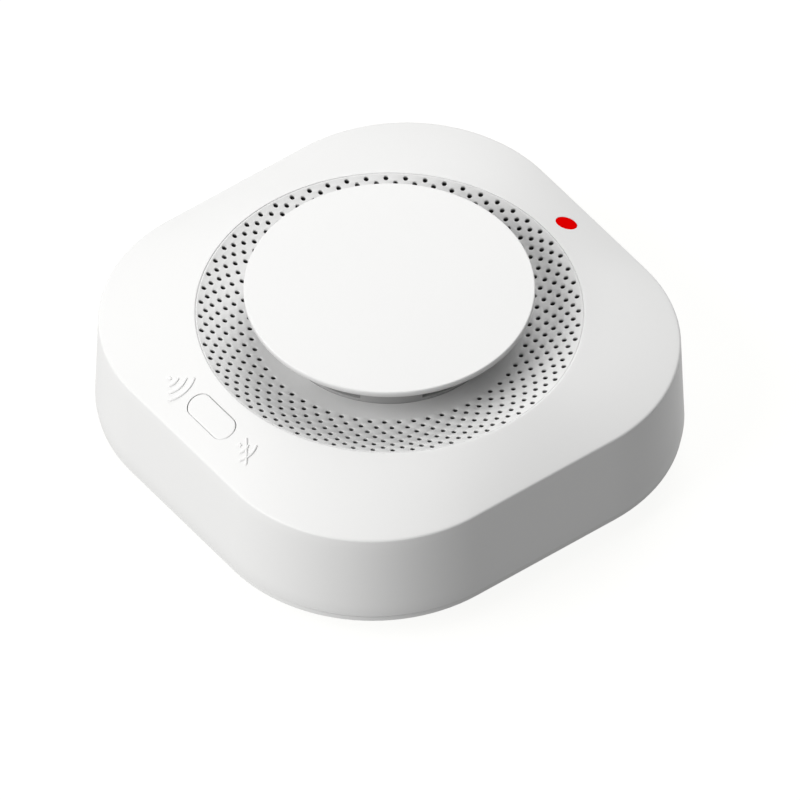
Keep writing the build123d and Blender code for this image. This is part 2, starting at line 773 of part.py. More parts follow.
# Screws: four close the case from below, four hold the board down.
with BuildPart() as case_screws:
    seat_z = base_z + bore_depth
    with BuildSketch(Plane.XY.offset(seat_z - screw_head_height)):
        with Locations(*corners):
            Circle(screw_head_radius)
    extrude(amount=screw_head_height)
    with BuildSketch(Plane.XY.offset(seat_z)):
        with Locations(*corners):
            Circle(screw_radius)
    extrude(amount=screw_length)
    with BuildSketch(Plane.XY.offset(seat_z - screw_head_height)):
        for place in corners:
            with Locations(place):
                Rectangle(screw_cross[0], screw_cross[1])
                Rectangle(screw_cross[1], screw_cross[0])
    extrude(amount=screw_cross[2], mode=Mode.SUBTRACT)
keep(case_screws, "case_screws")

with BuildPart() as board_screws:
    with BuildSketch(Plane.XY.offset(board_z - board_screw_reach)):
        with Locations(*post_places):
            Circle(board_screw_radius)
    extrude(amount=board_screw_reach + board_thickness)
    with BuildSketch(Plane.XY.offset(board_top)):
        with Locations(*post_places):
            Circle(board_head_radius)
    extrude(amount=board_head_height)
    with BuildSketch(Plane.XY.offset(board_top + board_head_height - board_cross[2])):
        for place in post_places:
            with Locations(place):
                Rectangle(board_cross[0], board_cross[1])
                Rectangle(board_cross[1], board_cross[0])
    extrude(amount=board_cross[2], mode=Mode.SUBTRACT)
keep(board_screws, "board_screws")

for piece in pieces:
    export_step(piece, f"parts/{piece.label}.step")
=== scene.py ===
import json
from math import atan2, cos, pi, radians, sin, tan

import bmesh
import bpy
import numpy as np
from mathutils import Matrix, Vector


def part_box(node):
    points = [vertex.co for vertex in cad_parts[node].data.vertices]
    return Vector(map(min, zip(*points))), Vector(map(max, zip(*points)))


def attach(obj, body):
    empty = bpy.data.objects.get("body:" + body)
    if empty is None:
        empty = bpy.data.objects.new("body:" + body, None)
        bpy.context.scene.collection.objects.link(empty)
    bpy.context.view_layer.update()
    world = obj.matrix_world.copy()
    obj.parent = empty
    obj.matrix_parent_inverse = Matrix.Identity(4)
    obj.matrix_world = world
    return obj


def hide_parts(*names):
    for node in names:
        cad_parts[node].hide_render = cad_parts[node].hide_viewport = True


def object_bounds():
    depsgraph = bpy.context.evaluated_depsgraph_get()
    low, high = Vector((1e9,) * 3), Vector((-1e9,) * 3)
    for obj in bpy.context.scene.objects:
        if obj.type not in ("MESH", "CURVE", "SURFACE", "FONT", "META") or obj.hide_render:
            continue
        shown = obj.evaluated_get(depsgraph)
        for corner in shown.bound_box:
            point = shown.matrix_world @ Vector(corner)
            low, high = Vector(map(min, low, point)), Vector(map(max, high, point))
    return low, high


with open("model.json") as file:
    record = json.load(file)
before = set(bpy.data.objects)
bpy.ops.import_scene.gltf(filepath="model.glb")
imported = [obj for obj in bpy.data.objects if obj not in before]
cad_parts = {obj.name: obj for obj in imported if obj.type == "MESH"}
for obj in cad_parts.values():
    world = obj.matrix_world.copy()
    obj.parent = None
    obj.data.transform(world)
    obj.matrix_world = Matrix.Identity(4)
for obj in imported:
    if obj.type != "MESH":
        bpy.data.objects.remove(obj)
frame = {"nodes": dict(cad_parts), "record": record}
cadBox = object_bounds()
mm = 0.001
weldDistance = 0.002 * mm
print("frame loaded:", len(frame["nodes"]), "nodes")


class Wire:
    # One output in a material's nodes. Arithmetic on wires adds Math nodes.
    def __init__(self, finish, socket):
        self.finish = finish
        self.socket = socket

    def math(self, operation, first, second):
        return self.finish.make("ShaderNodeMath", {"operation": operation}, {0: first, 1: second})

    def __add__(self, other):
        return self.math("ADD", self, other)

    def __radd__(self, other):
        return self.math("ADD", other, self)

    def __sub__(self, other):
        return self.math("SUBTRACT", self, other)

    def __rsub__(self, other):
        return self.math("SUBTRACT", other, self)

    def __mul__(self, other):
        return self.math("MULTIPLY", self, other)

    def __rmul__(self, other):
        return self.math("MULTIPLY", other, self)

    def __truediv__(self, other):
        return self.math("DIVIDE", self, other)

    def __rtruediv__(self, other):
        return self.math("DIVIDE", other, self)

    def __gt__(self, other):
        return self.math("GREATER_THAN", self, other)

    def __pow__(self, other):
        return self.math("POWER", self, other)


class Finish:
    # One material and the nodes that feed its shader.
    def __init__(self, name, **constants):
        self.material = bpy.data.materials.new(name)
        self.material.use_nodes = True
        self.tree = self.material.node_tree
        self.shader = self.tree.nodes["Principled BSDF"]
        for socket, value in constants.items():
            self.shader.inputs[socket.replace("_", " ")].default_value = value

    def make(self, kind, settings, sockets, output=0):
        node = self.tree.nodes.new(kind)
        for key, value in settings.items():
            setattr(node, key, value)
        for key, value in sockets.items():
            self.feed(node.inputs[key], value)
        return Wire(self, node.outputs[output])

    def feed(self, socket, value):
        if isinstance(value, Wire):
            self.tree.links.new(value.socket, socket)
        else:
            socket.default_value = value

    def place(self):
        return self.make("ShaderNodeTexCoord", {}, {}, output="Object")

    def axis(self, number):
        # One coordinate of the place on the surface, in metres.
        return self.make("ShaderNodeSeparateXYZ", {}, {"Vector": self.place()}, output=number)

    def clamp(self, value):
        return self.make("ShaderNodeClamp", {}, {"Value": value})

    def noise(self, size, detail=3.0, roughness=0.5, stretch=None):
        # Noise whose lumps are about size metres across, from 0 to 1.
        place = self.place()
        if stretch:
            place = self.make("ShaderNodeMapping", {}, {"Vector": place, "Scale": stretch})
        sockets = {"Vector": place, "Scale": 1 / size, "Detail": detail, "Roughness": roughness}
        return self.make("ShaderNodeTexNoise", {}, sockets)

    def mix(self, factor, first, second):
        sockets = {"Factor": factor, 6: first, 7: second}
        return self.make("ShaderNodeMix", {"data_type": "RGBA"}, sockets, output=2)

    def colour(self, value):
        self.feed(self.shader.inputs["Base Color"], value)

    def rough(self, value):
        self.feed(self.shader.inputs["Roughness"], value)

    def relief(self, height, depth, base=None):
        # Depth is in metres, for a height that runs from 0 to 1.
        sockets = {"Height": height, "Distance": depth, "Strength": 1.0}
        if base:
            sockets["Normal"] = base
        bump = self.make("ShaderNodeBump", {}, sockets)
        self.feed(self.shader.inputs["Normal"], bump)
        return bump


def rgb(red, green, blue):
    return (red, green, blue, 1.0)


def startPlastic(name, tint, shade, roughness, grain, stretch=None):
    # Injection moulded plastic: faint flow marks, a fine spark-eroded grain, and a soft sheen.
    # Gives back the finish, its plain colour and its relief, for more to be laid over them.
    finish = Finish(name, IOR=1.48, Specular_IOR_Level=0.42)
    flow = finish.noise(0.045, detail=2.0, stretch=stretch)
    speck = finish.noise(0.0012, detail=2.0)
    plain = finish.mix(flow * 0.55 + speck * 0.25, tint, shade)
    finish.rough(roughness - 0.05 + flow * 0.07 + speck * 0.05)
    fine = finish.relief(finish.noise(grain["size"], detail=3.0, roughness=0.6), grain["depth"])
    return finish, plain, fine


def mouldedPlastic(name, tint, shade, roughness, grain):
    finish, plain, fine = startPlastic(name, tint, shade, roughness, grain, (1.0, 1.0, 2.2))
    finish.colour(plain)
    finish.relief(finish.noise(0.006, detail=1.0), grain["waviness"], base=fine)
    return finish.material


def shadedPlastic(name, shadeColour, amount):
    # The cover's plastic with painted shade mixed in, by an amount worked out over the surface.
    finish, plain = startPlastic(name, *white, 0.46, fineGrain)[:2]
    return finish, finish.mix(amount(finish), plain, shadeColour)


def clearRedLens():
    # Diffusing red light guide with a faint mould swirl, lit a little from within.
    finish = Finish("lens_red", IOR=1.45, Specular_IOR_Level=0.0)
    finish.shader.inputs["Emission Strength"].default_value = 0.3
    swirl = finish.noise(0.0011, detail=2.0)
    finish.colour(finish.mix(swirl, rgb(0.56, 0.0, 0.0), rgb(0.46, 0.0, 0.0)))
    glow = finish.mix(swirl, rgb(0.85, 0.0, 0.0), rgb(0.7, 0.0, 0.0))
    finish.feed(finish.shader.inputs["Emission Color"], glow)
    finish.rough(0.28 + swirl * 0.08)
    finish.relief(swirl, 0.00002)
    return finish.material


def metalFinish(name, tint, shade, roughness, brush):
    # Worked metal: fine scratches along one direction over a cloudy patina.
    finish = Finish(name, Metallic=1.0)
    cloud = finish.noise(0.004, detail=3.0)
    scratch = finish.noise(0.0009, detail=4.0, roughness=0.7, stretch=brush)
    finish.colour(finish.mix(cloud * 0.6 + scratch * 0.3, tint, shade))
    finish.rough(roughness + cloud * 0.12 + scratch * 0.1)
    finish.relief(scratch, 0.000012)
    return finish.material


def boardFinish():
    # Solder mask over a grid of raised copper tracks, with the weave of the laminate.
    finish = Finish("board_laminate", IOR=1.52, Coat_Weight=0.35, Coat_Roughness=0.18)
    grid = {"offset": 0.5, "squash": 1.0}
    sockets = {"Vector": finish.place(), "Scale": 420.0, "Mortar Size": 0.02, "Mortar Smooth": 0.15}
    tracks = finish.make("ShaderNodeTexBrick", grid, sockets, output="Fac")
    weave = finish.noise(0.0007, detail=2.0)
    green = finish.mix(weave, rgb(0.012, 0.11, 0.045), rgb(0.02, 0.16, 0.065))
    finish.colour(finish.mix(tracks, green, rgb(0.035, 0.24, 0.10)))
    finish.rough(0.32 + weave * 0.12)
    finish.relief(tracks + weave * 0.2, 0.00003)
    return finish.material


def resinFinish(name, tint, shade, roughness, coat):
    # Moulding resin, ferrite or fired ceramic: a tight mineral speckle.
    finish = Finish(name, IOR=1.5, Coat_Weight=coat, Coat_Roughness=0.1)
    speck = finish.noise(0.0004, detail=3.0)
    cloud = finish.noise(0.003, detail=2.0)
    finish.colour(finish.mix(speck * 0.6 + cloud * 0.3, tint, shade))
    finish.rough(roughness + speck * 0.12)
    finish.relief(speck, 0.000015)
    return finish.material


def cellJacket():
    # Cell sleeve: dark, with a pale band at one end of its length and a fine print grain.
    finish = Finish("cell_jacket", IOR=1.5, Coat_Weight=0.5, Coat_Roughness=0.12)
    band = finish.axis(0) > 9 * mm
    grain = finish.noise(0.0008, detail=2.0, stretch=(0.2, 1.0, 1.0))
    body = finish.mix(grain, rgb(0.09, 0.10, 0.12), rgb(0.13, 0.14, 0.165))
    finish.colour(finish.mix(band, body, rgb(0.62, 0.60, 0.55)))
    finish.rough(0.3 + grain * 0.15)
    finish.relief(grain, 0.00001)
    return finish.material


fineGrain = {"size": 0.35 * mm, "depth": 0.004 * mm, "waviness": 0.006 * mm}
coarseGrain = {"size": 0.6 * mm, "depth": 0.01 * mm, "waviness": 0.008 * mm}
white = (rgb(0.755, 0.755, 0.754), rgb(0.735, 0.737, 0.736))
baseTints = (rgb(0.73, 0.732, 0.73), rgb(0.70, 0.702, 0.70))
bracketTints = (rgb(0.72, 0.72, 0.715), rgb(0.67, 0.67, 0.665))
blackTints = (rgb(0.02, 0.02, 0.021), rgb(0.035, 0.035, 0.036))
# Painted shade: the collar sleeve under the cap is given this dark grey for the shade it sits in.
collarShadeTints = (rgb(0.33, 0.33, 0.33), rgb(0.30, 0.30, 0.30))
coverWhite = mouldedPlastic("cover_plastic", *white, 0.46, fineGrain)
baseWhite = mouldedPlastic("base_plastic", *baseTints, 0.5, fineGrain)
bracketWhite = mouldedPlastic("bracket_plastic", *bracketTints, 0.55, coarseGrain)
chamberBlack = mouldedPlastic("chamber_plastic", *blackTints, 0.6, coarseGrain)
collarShadeGrey = mouldedPlastic("collar_painted_shade", *collarShadeTints, 0.55, coarseGrain)
metals = {  # tint, shade, roughness, and how the brushing is stretched
    "screen_steel": (rgb(0.4, 0.4, 0.41), rgb(0.3, 0.3, 0.31), 0.35, (1, 1, 6)),
    "contact_steel": (rgb(0.7, 0.69, 0.66), rgb(0.58, 0.57, 0.54), 0.25, (6, 1, 1)),
    "screw_steel": (rgb(0.62, 0.62, 0.61), rgb(0.5, 0.5, 0.49), 0.3, (1, 6, 1)),
    "disc_brass": (rgb(0.78, 0.6, 0.28), rgb(0.66, 0.49, 0.2), 0.28, (1, 8, 1)),
    "capacitor_can": (rgb(0.72, 0.72, 0.74), rgb(0.6, 0.6, 0.62), 0.3, (1, 1, 5)),
}
resins = {  # tint, shade, roughness and coat
    "chip_resin": (rgb(0.02, 0.02, 0.021), rgb(0.05, 0.05, 0.052), 0.5, 0.0),
    "ferrite": (rgb(0.05, 0.05, 0.055), rgb(0.1, 0.1, 0.105), 0.6, 0.0),
    "chip_ceramic": (rgb(0.52, 0.45, 0.34), rgb(0.42, 0.36, 0.27), 0.4, 0.1),
    "emitter_resin": (rgb(0.06, 0.03, 0.08), rgb(0.09, 0.05, 0.11), 0.12, 0.6),
    "sensor_resin": (rgb(0.015, 0.015, 0.02), rgb(0.03, 0.03, 0.035), 0.14, 0.6),
}
slotFinish = {
    "cover_plastic": coverWhite,
    "base_plastic": baseWhite,
    "bracket_plastic": bracketWhite,
    "chamber_plastic": chamberBlack,
    "board_laminate": boardFinish(),
    "lens_red": clearRedLens(),
    "cell_jacket": cellJacket(),
}
slotFinish.update({name: metalFinish(name, *look) for name, look in metals.items()})
slotFinish.update({name: resinFinish(name, *look) for name, look in resins.items()})
for part in frame["record"]["subparts"]:
    node = frame["nodes"][part["node"]]
    node.data.materials.clear()
    node.data.materials.append(slotFinish[part["material_slot"]])
print("finishes made:", len(slotFinish))


def gridFaces(rows, columns, closedRows, closedColumns):
    # Quads of a grid whose point (row, column) has index row * columns + column.
    row = np.arange(rows if closedRows else rows - 1)[:, None]
    column = np.arange(columns if closedColumns else columns - 1)[None, :]
    nextRow = (row + 1) % rows
    nextColumn = (column + 1) % columns
    corners = [row * columns + column, row * columns + nextColumn]
    corners += [nextRow * columns + nextColumn, nextRow * columns + column]
    return np.stack(np.broadcast_arrays(*corners), -1).reshape(-1, 4)


def makePiece(name, points, faces, finish, sharp=38.0):
    # A welded mesh with outward faces, smooth except across edges steeper than sharp degrees.
    mesh = bpy.data.meshes.new(name)
    mesh.from_pydata(np.reshape(points, (-1, 3)).tolist(), [], np.asarray(faces).tolist())
    work = bmesh.new()
    work.from_mesh(mesh)
    bmesh.ops.remove_doubles(work, verts=work.verts, dist=weldDistance)
    bmesh.ops.dissolve_degenerate(work, edges=work.edges, dist=weldDistance / 2)
    bmesh.ops.recalc_face_normals(work, faces=work.faces)
    work.to_mesh(mesh)
    work.free()
    mesh.shade_smooth()
    mesh.set_sharp_from_angle(angle=radians(sharp))
    mesh.materials.append(finish)
    piece = bpy.data.objects.new(name, mesh)
    bpy.context.scene.collection.objects.link(piece)
    return piece


def cutOut(piece, cutters, sharp):
    # Cuts closed forms out of a piece and keeps the result as the piece's own mesh.
    for cutter in cutters:
        cut = piece.modifiers.new("cut", "BOOLEAN")
        cut.operation = "DIFFERENCE"
        cut.solver = "EXACT"
        cut.object = cutter
    done = piece.evaluated_get(bpy.context.evaluated_depsgraph_get())
    mesh = bpy.data.meshes.new_from_object(done)
    piece.modifiers.clear()
    piece.data = mesh
    mesh.shade_smooth()
    mesh.set_sharp_from_angle(angle=radians(sharp))
    for cutter in cutters:
        bpy.data.objects.remove(cutter, do_unlink=True)


def around(profile, steps):
    # A profile of (radius, height) turned about Z: x = r cos a, y = r sin a, z = h.
    angle = np.arange(steps) * 2 * pi / steps
    radius = profile[:, 0][:, None]
    height = np.broadcast_to(profile[:, 1][:, None], (len(profile), steps))
    return np.stack([radius * np.cos(angle), radius * np.sin(angle), height], -1)


def roundCorners(corners, radii, steps=6):
    # Replaces each corner of a closed outline by the curve that runs from a radius before it to a
    # radius after it and bends towards it: (1-t)^2 before + 2t(1-t) corner + t^2 after.
    corners = np.asarray(corners, float)
    before = np.roll(corners, 1, 0) - corners
    after = np.roll(corners, -1, 0) - corners
    reach = np.asarray(radii, float)[:, None]
    start = corners + before / np.linalg.norm(before, axis=1)[:, None] * reach
    end = corners + after / np.linalg.norm(after, axis=1)[:, None] * reach
    t = np.linspace(0, 1, steps)[None, :, None]
    curve = (1 - t) ** 2 * start[:, None] + 2 * t * (1 - t) * corners[:, None] + t**2 * end[:, None]
    return curve.reshape(-1, 2)


def lathe(name, corners, finish, steps=288):
    # A ring or disc turned about Z from corners of (radius, height, how far the corner is rounded).
    corners = np.array(corners)
    profile = roundCorners(corners[:, :2], corners[:, 2])
    points = around(profile, steps)
    return makePiece(name, points, gridFaces(len(profile), steps, True, True), finish)


# Cover: drafted walls, a roof that rises to a round rim, and the same form inside.
coverLow, coverHigh = (np.array(corner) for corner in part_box("top_cover"))
cover = {
    "half": coverHigh[0],
    "corner": 35.4 * mm,
    "foot": coverLow[2],
    "crest": cadBox[1][2] - 12.6 * mm,
    "rim": cadBox[1][2] - 7.1 * mm,
    "rimRadius": 39.46 * mm,
    "inset": tan(radians(2.08)) * 21.44 * mm,  # draft of the walls over their height
    "wall": 1.8 * mm,
    "drop": 2.0 * mm,
    "dome": 0.22 * mm,
    "lip": 0.3 * mm,
    "crestRound": 0.35 * mm,
    "rimRound": 0.35 * mm,
    "wallEnd": 0.97,  # share of the inset where the crest's round begins
    "boreDepth": 3.4 * mm,
    "wellHeight": 18 * mm,  # from the foot up to where the holes in the roof begin
    "innerEnd": 0.84,  # share of the way to the rim that the inner roof runs
    "sideSteps": 40,
    "cornerSteps": 64,
    "roofSteps": 22,
}
crestHalf = cover["half"] - cover["inset"]
crestCorner = cover["corner"] - cover["inset"]
sideAngle = atan2(crestHalf - crestCorner, crestHalf)


def outlineSteps():
    # Along the outline: along runs -1 to 1 on a side, bend runs 0 to 90 degrees on a corner.
    along = np.linspace(-1, 1, cover["sideSteps"], endpoint=False)
    bend = np.linspace(0, pi / 2, cover["cornerSteps"], endpoint=False)
    alongAll = np.concatenate([along, np.ones(len(bend))])
    bendAll = np.concatenate([np.zeros(len(along)), bend])
    return alongAll, bendAll


def turnFourTimes(x, y):
    # The same quarter of an outline at 0, 90, 180 and 270 degrees.
    quarter = np.arange(4)[:, None] * pi / 2
    turnedX = x * np.cos(quarter) - y * np.sin(quarter)
    turnedY = x * np.sin(quarter) + y * np.cos(quarter)
    return np.stack([turnedX.ravel(), turnedY.ravel()], -1)


def squareLoop(inset):
    # Rounded square: centre of the corner plus its radius along (cos b, sin b).
    along, bend = outlineSteps()
    half = cover["half"] - inset
    corner = cover["corner"] - inset
    reach = half - corner
    return turnFourTimes(reach + corner * np.cos(bend), along * reach + corner * np.sin(bend))


def circleLoop(radius):
    # Circle divided so that each of its points meets the outline's point of the same number.
    along, bend = outlineSteps()
    angle = along * sideAngle + bend * (pi / 2 - 2 * sideAngle) / (pi / 2)
    return turnFourTimes(radius * np.cos(angle), radius * np.sin(angle))


def level(loop, height):
    return np.concatenate([loop, np.full((len(loop), 1), height)], 1)


def roofRows(insetAtCrest, drop, steps):
    # From crest to rim: straight blend of the two loops, lifted by a shallow dome 4 s (1 - s).
    crest = level(squareLoop(insetAtCrest), cover["crest"] - drop)
    rim = level(circleLoop(cover["rimRadius"]), cover["rim"] - drop)
    s = steps[:, None, None]
    rows = (1 - s) * crest + s * rim
    rows[..., 2] += cover["dome"] * 4 * steps[:, None] * (1 - steps[:, None])
    return rows


def bendRows(before, corner, after, steps):
    # Soft edge between three rows: (1-t)^2 before + 2t(1-t) corner + t^2 after.
    t = np.linspace(0, 1, steps)[:, None, None]
    return (1 - t) ** 2 * before + 2 * t * (1 - t) * corner + t**2 * after


def makeCover():
    inset = cover["inset"]
    wall = cover["wall"]
    footInner = level(squareLoop(wall), cover["foot"])
    footIn = level(squareLoop(cover["lip"]), cover["foot"])
    footCorner = level(squareLoop(0), cover["foot"])
    footUp = level(squareLoop(0), cover["foot"] + cover["lip"])
    s = np.linspace(0, 1, 8)[:, None, None]
    wallTop = level(squareLoop(inset * cover["wallEnd"]), cover["crest"] - cover["crestRound"])
    walls = (1 - s) * footUp + s * wallTop
    roofStart = cover["crestRound"] / (crestHalf - cover["rimRadius"])
    roofEnd = 1 - cover["rimRound"] / (crestHalf - cover["rimRadius"])
    roof = roofRows(inset, 0, np.linspace(roofStart, roofEnd, cover["roofSteps"]))
    crest = bendRows(walls[-1], level(squareLoop(inset), cover["crest"]), roof[0], 8)
    rimLoop = circleLoop(cover["rimRadius"])
    rimCorner = level(rimLoop, cover["rim"])
    boreTop = level(rimLoop, cover["rim"] - cover["rimRound"])
    rim = bendRows(roof[-1], rimCorner, boreTop, 6)
    boreFoot = level(rimLoop, cover["rim"] - cover["boreDepth"])
    sleeveFoot = level(circleLoop(cover["rimRadius"] + wall), cover["rim"] - cover["boreDepth"])
    underside = roofRows(inset + wall, cover["drop"], np.linspace(cover["innerEnd"], 0, 10))
    rows = [footInner[None], bendRows(footIn, footCorner, footUp, 4), walls[1:-1], crest, roof[1:-1]]
    rows += [rim, boreFoot[None], sleeveFoot[None], underside]
    points = np.concatenate(rows)
    faces = gridFaces(points.shape[0], points.shape[1], True, True)
    return makePiece("cover_shell", points, faces, coverWhite)


def roofHeight(x, y):
    # Height of the roof over (x, y) beside the middle of the -Y or +Y side. The ruling through the
    # point starts at x = p on the crest line and ends at p / reach * sideAngle on the rim circle.
    reach = crestHalf - crestCorner
    start = np.array(x, float)
    s = np.zeros_like(start)
    for _ in range(6):
        angle = start / reach * sideAngle
        s = (crestHalf - np.abs(y)) / (crestHalf - cover["rimRadius"] * np.cos(angle))
        sideways = (1 - s) + s * cover["rimRadius"] * sideAngle / reach
        start = x / sideways
    return cover["crest"] + s * (cover["rim"] - cover["crest"]) + cover["dome"] * 4 * s * (1 - s)


def pillOutline(straight, width, steps):
    # A pill's edge: a half circle about each end, at straight from the middle.
    angle = np.linspace(-pi / 2, pi / 2, steps)
    right = np.stack([straight + width / 2 * np.cos(angle), width / 2 * np.sin(angle)], -1)
    return np.concatenate([right, -right])


pillSteps = {"end": 28, "edge": 6, "middle": 7, "middleFrom": 0.8}


def pillForm(name, sizes, low, top, finish, extra=0.0, edge=0.0):
    # Rings shrink towards the pill's middle line; the top follows the function top(x, y), and its
    # edge falls away by a quarter circle of radius edge. Extra is added to the length and width.
    centre = sizes["centre"]
    width = sizes["width"] + extra
    straight = (sizes["length"] - sizes["width"]) / 2
    outline = pillOutline(straight, width, pillSteps["end"])
    along = np.clip(outline[:, 0], -straight, straight)
    spine = np.stack([along, np.zeros_like(along)], -1)
    turn = np.linspace(0, pi / 2, pillSteps["edge"])
    middle = np.linspace(pillSteps["middleFrom"], 0, pillSteps["middle"])
    shrink = np.concatenate([1 - edge / (width / 2) * (1 - np.cos(turn)), middle])
    fall = np.concatenate([edge * (1 - np.sin(turn)), np.zeros_like(middle)])
    rings = spine + (outline - spine) * shrink[:, None, None] + np.array(centre)
    height = top(rings[..., 0], rings[..., 1]) - fall[:, None]
    upper = np.concatenate([rings, height[..., None]], -1)
    foot = upper[:1].copy()
    foot[..., 2] = low
    closing = spine[None] + np.array(centre)
    bottom = np.concatenate([closing, np.full(closing.shape[:2] + (1,), low)], -1)
    points = np.concatenate([bottom, foot, upper])
    return makePiece(name, points, gridFaces(points.shape[0], points.shape[1], False, True), finish)


buttonLow, buttonHigh = (np.array(corner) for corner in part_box("test_button"))
button = {
    "centre": (0.0, (buttonLow[1] + buttonHigh[1]) / 2),
    "length": 12.9 * mm,
    "width": 4.9 * mm,
    "gap": 0.17 * mm,
    "edge": 0.22 * mm,
    "foot": buttonLow[2] + 0.8 * mm,  # top of the button's hidden flange
}
lensLow, lensHigh = (np.array(corner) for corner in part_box("status_lens"))
lens = {
    "centre": (0.0, (lensLow[1] + lensHigh[1]) / 2),
    "length": 4.401 * mm,
    "width": 4.4 * mm,
    "gap": 0.03 * mm,
    "edge": 0.15 * mm,
    "foot": lensLow[2] + 2 * mm,
}


def wellAbove(x, y):
    return np.full_like(x, cover["rim"] + 2 * mm)


coverShell = makeCover()
well = cover["foot"] + cover["wellHeight"]
cutters = [
    pillForm("button_cut", button, well, wellAbove, coverWhite, extra=2 * button["gap"]),
    pillForm("lens_cut", lens, well, wellAbove, coverWhite, extra=2 * lens["gap"]),
]
cutOut(coverShell, cutters, 32.0)
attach(coverShell, "detector")
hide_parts("top_cover")

testButton = pillForm("button_cap", button, button["foot"], roofHeight, coverWhite, edge=button["edge"])
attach(testButton, "button")
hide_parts("test_button")

lensRed = slotFinish["lens_red"]
statusLens = pillForm("lens_cap", lens, lens["foot"], roofHeight, lensRed, edge=lens["edge"])
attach(statusLens, "detector")
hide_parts("status_lens")
print("cover, button and lens made")

# Sound grille: a bowl with rings of round holes, each ring turned by half a pitch.
grille = {
    "inner": 23.0 * mm,
    "outer": cover["rimRadius"],
    "edgeHeight": cover["rim"] - 0.14 * mm,
    "rise": 2.96 * mm,
    "thickness": 1.4 * mm,
    "hole": 0.525 * mm,
    "holeRound": 0.05 * mm,
    "rings": 8,
    "perRing": 60,
    "outerRing": 38.45 * mm,
    "firstStep": 1.07 * mm,
    "stepGrowth": 0.1205 * mm,
    "outerMargin": 0.7 * mm,
    "innerMargin": 0.9 * mm,
    "chamfer": 0.12 * mm,
    "arcSteps": 6,
    "sideSteps": 2,
    "bandSteps": 360,
    # Painted shade in the holes: where it begins below the bowl's surface, and the depth over which it
    # reaches near-black.
    "shadeStart": 0.06 * mm,
    "shadeDepth": 0.5 * mm,
}


def bowlHeight(radius):
    # Level at the inner edge, then rising with the square of the distance from it.
    share = (radius - grille["inner"]) / (grille["outer"] - grille["inner"])
    return grille["edgeHeight"] - grille["rise"] * (1 - share**2)


def holeCell(ring, radius, low, high):
    # Rows of points round every hole of a ring: the cell's border, the hole's soft edge in three
    # steps, and the hole's wall down to the underside. A cell is one pitch wide. Its border is two
    # arcs and two sides, in the same steps on every cell, so that neighbours share their points,
    # and the hole's first point faces the border's first corner.
    pitch = 2 * pi / grille["perRing"]
    phase = (ring % 2) * pitch / 2
    centre = np.arange(grille["perRing"]) * pitch + phase
    arc = grille["arcSteps"]
    side = grille["sideSteps"]
    outerArc = np.stack([np.full(arc, high), np.linspace(-0.5, 0.5, arc, endpoint=False)], -1)
    sideDown = np.stack([np.linspace(high, low, side, endpoint=False), np.full(side, 0.5)], -1)
    innerArc = np.stack([np.full(arc, low), np.linspace(0.5, -0.5, arc, endpoint=False)], -1)
    sideUp = np.stack([np.linspace(low, high, side, endpoint=False), np.full(side, -0.5)], -1)
    border = np.concatenate([outerArc, sideDown, innerArc, sideUp])
    angle = centre[:, None] + border[None, :, 1] * pitch
    edge = np.stack([border[:, 0] * np.cos(angle), border[:, 0] * np.sin(angle)], -1)
    turn = (np.arange(len(border)) - arc / 2) * 2 * pi / len(border)
    along = np.stack([np.cos(centre), np.sin(centre)], -1)[:, None]
    across = np.stack([-np.sin(centre), np.cos(centre)], -1)[:, None]
    direction = along * np.cos(turn)[None, :, None] + across * np.sin(turn)[None, :, None]
    middle = along * radius
    wide = middle + direction * (grille["hole"] + grille["holeRound"])
    soft = middle + direction * (grille["hole"] + grille["holeRound"] * 0.3)
    narrow = middle + direction * grille["hole"]
    loops = [(edge, 0), (wide, 0), (soft, 0.3), (narrow, 1)]
    rows = []
    for loop, sink in loops:
        height = bowlHeight(np.linalg.norm(loop, axis=-1)) - sink * grille["holeRound"]
        rows.append(np.concatenate([loop, height[..., None]], -1))
    for loop in (narrow, edge):
        height = bowlHeight(np.linalg.norm(loop, axis=-1)) - grille["thickness"]
        rows.append(np.concatenate([loop, height[..., None]], -1))
    return np.stack(rows, 1)


def plainBand(radii, drop):
    # Rings that follow the bowl, at drop below its surface.
    return around(np.stack([radii, bowlHeight(radii) - drop], -1), grille["bandSteps"])


def makeGrille():
    # Ring n lies in from the outermost by n first steps plus n (n - 1) / 2 growths.
    ring = np.arange(grille["rings"])
    growth = grille["stepGrowth"] * ring * (ring - 1) / 2
    radii = grille["outerRing"] - grille["firstStep"] * ring - growth
    bounds = (radii[:-1] + radii[1:]) / 2
    highs = np.concatenate([[grille["outerRing"] + grille["outerMargin"]], bounds])
    lows = np.concatenate([bounds, [radii[-1] - grille["innerMargin"]]])
    points = []
    faces = []
    count = 0
    for number in ring:
        cells = holeCell(number, radii[number], lows[number], highs[number])
        cellFaces = gridFaces(cells.shape[1], cells.shape[2], False, True)
        size = cells.shape[1] * cells.shape[2]
        shifted = cellFaces[None] + (np.arange(len(cells)) * size)[:, None, None] + count
        points.append(cells.reshape(-1, 3))
        faces.append(shifted.reshape(-1, 4))
        count += len(cells) * size
    outerEdge = np.linspace(highs[0], grille["outer"] - grille["chamfer"], 2)
    innerEdge = np.linspace(grille["inner"], lows[-1], 8)
    top = plainBand(outerEdge, 0)
    under = plainBand(outerEdge[::-1], grille["thickness"])
    sideTop = [grille["outer"], grille["edgeHeight"] - grille["chamfer"]]
    sideFoot = [grille["outer"], grille["edgeHeight"] - grille["thickness"]]
    side = around(np.array([sideTop, sideFoot]), grille["bandSteps"])
    rim = np.concatenate([top, side, under])
    hubUnder = plainBand(innerEdge, grille["thickness"])
    hub = np.concatenate([plainBand(innerEdge[::-1], 0), hubUnder])
    for band in (rim, hub):
        points.append(band.reshape(-1, 3))
        faces.append(gridFaces(band.shape[0], band.shape[1], False, True) + count)
        count += band.shape[0] * band.shape[1]
    points = np.concatenate(points)
    return makePiece("grille_bowl", points, np.concatenate(faces), grilleFinish(), sharp=60.0)


